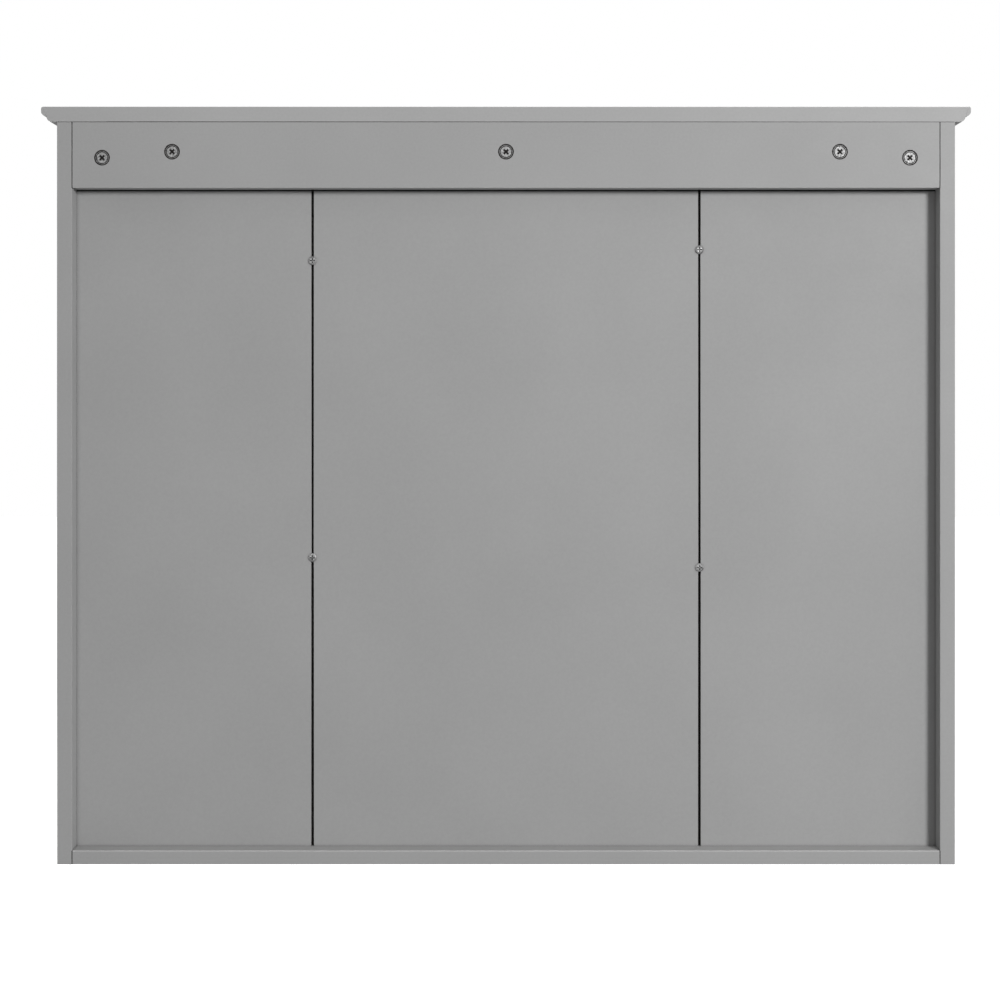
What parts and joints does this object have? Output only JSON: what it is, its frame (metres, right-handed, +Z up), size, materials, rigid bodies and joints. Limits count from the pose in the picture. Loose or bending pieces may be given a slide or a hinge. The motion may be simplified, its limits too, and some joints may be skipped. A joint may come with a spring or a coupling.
{
  "type": "medicine cabinet with mirror",
  "caption": "Wall-hung painted medicine cabinet with framed mirror doors, a moulded crown, inner shelves and a recessed back with a hanging rail.",
  "frame": {"origin": "centre of the hanging rail's rear face, on the plane of the wall", "axes": "+Z up, +Y into the wall (out of the rear face), +X to the right of a person who faces the doors"},
  "size_m": [0.93, 0.166, 0.758],
  "materials": {
    "painted": "satin grey paint on fibreboard",
    "backing": "bare brown hardboard",
    "mirror": "silvered float glass",
    "zinc": "die-cast zinc, satin",
    "steel": "plain zinc-plated steel",
    "screw_steel": "bright zinc-plated steel",
    "nickel": "nickel-plated steel",
    "knob": "satin nickel",
    "clear_rubber": "soft clear bumper"
  },
  "bodies": {
    "cabinet": {"crown_board": "painted", "left_side_panel": "painted", "right_side_panel": "painted", "bottom_board": "painted", "left_partition": "painted", "right_partition": "painted", "hanging_rail": "painted", "left_back_panel": "painted", "centre_back_panel": "painted", "right_back_panel": "painted", "cam_locks": "zinc", "cam_bolts": "steel", "back_panel_screws": "screw_steel", "partition_screws": "screw_steel", "shelf_pins": "nickel", "door_bumpers": "clear_rubber", "hinge_plates": "nickel", "side_door_hinge_arms": "nickel", "centre_door_hinge_arms": "nickel", "hinge_plate_screws": "screw_steel", "hinge_arm_screws": "screw_steel", "left_lower_shelf": "painted", "left_upper_shelf": "painted", "centre_lower_shelf": "painted", "centre_upper_shelf": "painted", "right_lower_shelf": "painted", "right_upper_shelf": "painted"},
    "left_door": {"left_door_hinge_stile": "painted", "left_door_knob_stile": "painted", "left_door_top_rail": "painted", "left_door_bottom_rail": "painted", "left_mirror": "mirror", "left_backing_board": "backing", "left_hinge_cups": "nickel", "left_hinge_pins": "steel", "left_cup_screws": "screw_steel", "left_knob": "knob", "left_knob_screw": "screw_steel"},
    "centre_door": {"centre_door_hinge_stile": "painted", "centre_door_knob_stile": "painted", "centre_door_top_rail": "painted", "centre_door_bottom_rail": "painted", "centre_mirror": "mirror", "centre_backing_board": "backing", "centre_hinge_cups": "nickel", "centre_hinge_pins": "steel", "centre_cup_screws": "screw_steel", "centre_knob": "knob", "centre_knob_screw": "screw_steel"},
    "right_door": {"right_door_hinge_stile": "painted", "right_door_knob_stile": "painted", "right_door_top_rail": "painted", "right_door_bottom_rail": "painted", "right_mirror": "mirror", "right_backing_board": "backing", "right_hinge_cups": "nickel", "right_hinge_pins": "steel", "right_cup_screws": "screw_steel", "right_knob": "knob", "right_knob_screw": "screw_steel"}
  },
  "joints": [
    {"name": "left_door_hinge", "type": "hinge", "parent": "cabinet", "child": "left_door", "pos_m": [-0.441, -0.1365, -0.3395], "axis": [0, 0, -1], "range_deg": [0, 95]},
    {"name": "centre_door_hinge", "type": "hinge", "parent": "cabinet", "child": "centre_door", "pos_m": [-0.1865, -0.1365, -0.3395], "axis": [0, 0, -1], "range_deg": [0, 90]},
    {"name": "right_door_hinge", "type": "hinge", "parent": "cabinet", "child": "right_door", "pos_m": [0.441, -0.1365, -0.3395], "axis": [0, 0, 1], "range_deg": [0, 95]}
  ]
}
